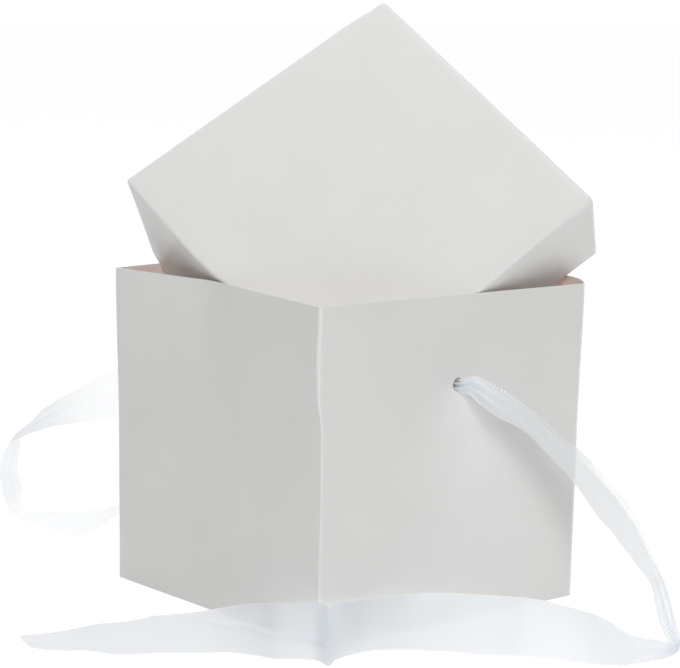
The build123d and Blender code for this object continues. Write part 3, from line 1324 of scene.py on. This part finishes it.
@dataclass(frozen=True)
class Studio:
    """White sweep, soft light from all sides and the camera of the picture."""

    # The camera: its place in metres and its directions, then its lens and the picture in pixels
    position: Vector = Vector((-0.7174, -0.8532, 0.2990))
    right: Vector = Vector((0.7691, -0.6389, 0.0152))
    forward: Vector = Vector((0.6315, 0.7562, -0.1715))
    focal_pixels: float = 2441.9
    picture_width: float = 680.0
    picture_height: float = 668.0
    axis_x: float = 336.9  # where the camera's axis meets the picture
    axis_y: float = 365.4
    clip: tuple[float, float] = (0.05, 50.0)
    floor_reach: float = 6000.0  # from the middle to an edge, millimetres
    ambient: float = 0.20  # strength of the light from all round
    lamps: tuple[Softbox, ...] = (
        Softbox("key", Vector((-0.52, -0.66, 0.36)), 2.2, 0.5, 16.3),
        Softbox("back", Vector((0.63, 0.76, 0.45)), 2.2, 1.6, 12.5),
        Softbox("top", Vector((0.05, 0.05, 1.0)), 2.0, 1.4, 14.4),
        Softbox("rim", Vector((0.98, 0.12, 0.20)), 2.0, 0.9, 12.0),
    )

    def camera(self) -> None:
        """Make the camera and set it as the scene's."""
        data = bpy.data.cameras.new("camera")
        data.sensor_fit = "HORIZONTAL"
        data.lens = data.sensor_width * self.focal_pixels / self.picture_width
        data.shift_x = (self.picture_width / 2 - self.axis_x) / self.picture_width
        data.shift_y = (self.axis_y - self.picture_height / 2) / self.picture_width
        data.clip_start, data.clip_end = self.clip
        camera = bpy.data.objects.new("camera", data)
        back = -self.forward.normalized()
        up = back.cross(self.right).normalized()
        right = up.cross(back)
        turn = Matrix((right, up, back)).transposed().to_4x4()
        camera.matrix_world = Matrix.Translation(self.position) @ turn
        bpy.context.scene.collection.objects.link(camera)
        bpy.context.scene.camera = camera

    def world(self) -> None:
        """Give soft light from all round, and plain white where the background shows."""
        shader = Shader(bpy.data.worlds.new("studio"))
        light = shader.add("Background", Color=WHITE, Strength=self.ambient)
        white = shader.add("Background", Color=WHITE)
        bpy.context.scene.world = shader.close(shader.mixed(shader.seen(), light, white))

    def floor(self) -> None:
        """Lay the white sweep."""
        bm = bmesh.new()
        bmesh.ops.create_grid(bm, x_segments=1, y_segments=1, size=self.floor_reach)
        sweep = as_piece(bm, "sweep")
        sweep.data.materials.append(FloorFinish().material())

    def build(self) -> None:
        """Set up camera, floor, world and lamps."""
        self.camera()
        self.floor()
        self.world()
        for lamp in self.lamps:
            lamp.build()
        bpy.context.scene.view_settings.view_transform = "Standard"


# The ribbons' ways, in millimetres and degrees

RIGHT_HANG = (
    # x, y, z, azimuth, elevation, spread, then cup and pleats where they aren't 0 and 1
    (-0.2, -70.5, 107, 0, 76, 0.21, 0, 0.55),
    (0.5, -76.6, 106.9, 0, 76, 0.225, 0, 0.6),
    (1.6, -80, 107.2, 5, 60, 0.25, 0, 0.8),
    (2.4, -84, 107.8, 18, 38, 0.33),
    (3.5, -92, 105, 33, 24, 0.56, 0, 0.9),
    (7, -99, 101, 28, 18, 0.72, 0, 0.7),
    (11, -105, 97, 29, 10, 0.8, 0, 0.5),
    (15, -111, 92.5, 28, 5, 0.84, 6, 0.3),
    (18.5, -119, 86, 26, 4, 0.88, 8, 0.15),
    (22.5, -125, 80, 24, 8, 0.92, 10, 0.1),
    (28.5, -132, 71, 23, 14, 0.96, 10, 0.1),
    (35, -139, 60, 20, 18, 0.97, 10, 0.1),
    (40.5, -145, 49, 19, 10, 0.96, 10, 0.2),
    (45.5, -151, 37, 23, 1, 0.88, 10, 0.4),
    (49, -155, 27.5, 25, -5, 0.8, 0, 0.6),
    (50.5, -158, 18, 21, -9, 0.72, 0, 0.7),
    (51, -161, 10, 20, -10, 0.66, 0, 0.7),
    (51.5, -163, 4.5, 24, -10, 0.5, 0, 0.8),
    (50.5, -166.5, 1.5, 35, 0, 0.34, 0, 0.8),
)
RIGHT_TABLE = (
    # x and y of the lower edge, lean, azimuth, spread, then cup and pleats as above
    (43, -173, 8, 45, 0.34),
    (34, -176.5, 12, 48, 0.5),
    (26, -177, 15, 50, 0.7, 4),
    (18, -175, 18, 52, 0.88, 8),
    (10, -171, 31, 55, 1, 12),
    (2, -164, 47, 60, 1, 14),
    (-4, -155, 60, 64, 1, 12),
    (-8, -146, 70, 64, 1, 8),
    (-13, -137, 74, 60, 1, 4),
    (-24, -127, 75, 55, 1.02),
    (-36, -111, 74, 52, 1),
    (-47, -99, 55, 50, 1),
    (-60, -92, 48, 50, 1),
    (-71, -91, 50, 50, 1),
    (-81, -93, 56, 50, 1),
    (-87.5, -97.2, 64, 50, 1),
    (-89.5, -98, 80, 50, 1),
    (-88.8, -95.6, 76, 50, 1),
    (-88, -92, 66, 50, 1),
    (-88, -88, 58, 50, 1),
    (-92, -84, 56, 50, 1),
    (-100, -77, 56, 50, 1),
    (-104, -67, 46, 52, 1),
    (-113, -55, 33, 52, 1),
    (-125, -47, 27, 53, 1),
    (-138, -39, 22, 54, 1),
    (-149, -31, 17, 57, 1, 0, 0.1),
    (-162, -15, 5, 62, 0.98, 0, 0.1),
    (-174, -3, 0, 74, 0.8, 0, 0.1),
)
LEFT_HANG = (
    # the same columns as RIGHT_HANG
    (0, 70.5, 107, 0, 90, 0.16),
    (0, 79, 107, 0, 90, 0.19),
    (-6, 90, 105, 0, 88, 0.52),
    (-22, 102, 97, 30, 75, 0.85, 0, 0.6),
    (-50, 112, 80.5, 55, 62, 1, 0, 0.2),
    (-64, 116, 77, 58, 37, 1, 0, 0.2),
    (-74, 120, 73.5, 63, 22, 1, 0, 0.2),
    (-83, 126, 69, 58, 14, 0.97, 0, 0.4),
    (-91, 131, 63.5, 52, 3, 0.95, 0, 0.6),
    (-94, 137, 58.5, 50, 1, 0.92, 0, 0.6),
    (-92, 142, 52, 37, 1, 0.92, 0, 0.6),
    (-91, 147, 40, 38, -6, 0.92, 0, 0.6),
    (-87, 150, 30, 33, -12, 0.92, 0, 0.6),
    (-83, 153, 20, 43, -9, 0.93, 0, 0.5),
    (-78, 155, 15, 52, -4, 0.95, 0, 0.3),
    (-66, 157, 10.8, 55, 6, 0.98, 0, 0.2),
    (-54, 157, 7.4, 56, 12, 1, 0, 0.1),
    (-43, 157, 5, 56, 18, 1, 0, 0.1),
    (-33, 160, 5.2, 54, 10, 1, 0, 0.1),
    (-22, 163, 5.6, 54, 3, 1, 0, 0.1),
    (-14, 165, 6.5, 55, -1, 1, 0, 0.1),
    (2, 168, 5, 62, 0, 1, 0, 0.1),
    (18, 169, 2.5, 70, 0, 1, 0, 0.1),
    (32, 167, 1.2, 76, 0, 1, 0, 0.1),
)

# Distance along the ribbon, and where its crease runs across the width, from -1 to 1
RIGHT_CREASE = ((351, -0.33), (379, -0.16), (398, 0.12), (424, 0.7), (445, 1.3))

# Distance along the ribbon, and how far its weave has closed up there
RIGHT_DENSE = ((150, 0.0), (190, 0.15), (240, 0.8), (345, 0.9), (458, 0.75))
LEFT_DENSE = ((95, 0.0), (120, 0.7), (165, 0.7), (185, 0.0))


def main() -> None:
    """Build every piece in order."""
    logging.basicConfig(level=logging.INFO, format="%(name)s: %(message)s")
    Studio().build()
    card = CardFinish("white_card", (0.86, 0.86, 0.84), sizing=0.6)
    paper = CardFinish("peach_paper", (0.95, 0.80, 0.735), fold_lift=0.1)
    GiftBox(card, paper).build()
    Lid(card, paper).build()
    knot_right = StopKnot("tied_knot_right", "knot_right", -1).build()
    knot_left = StopKnot("tied_knot_left", "knot_left", 1).build()
    right_way = hanging(RIGHT_HANG) + lying(RIGHT_TABLE)
    right = Ribbon("organza_right", "ribbon_right", right_way, 0.61, 0.74, RIGHT_DENSE, phase=0.6)
    right.lip, right.crease, right.crease_rows = 1.4, 0.5, RIGHT_CREASE
    right.build(knot_right)
    left_way = hanging(LEFT_HANG)
    Ribbon("organza_left", "ribbon_left", left_way, 0.36, 0.48, LEFT_DENSE, phase=2.1).build(knot_left)


if __name__ == "__main__":
    main()
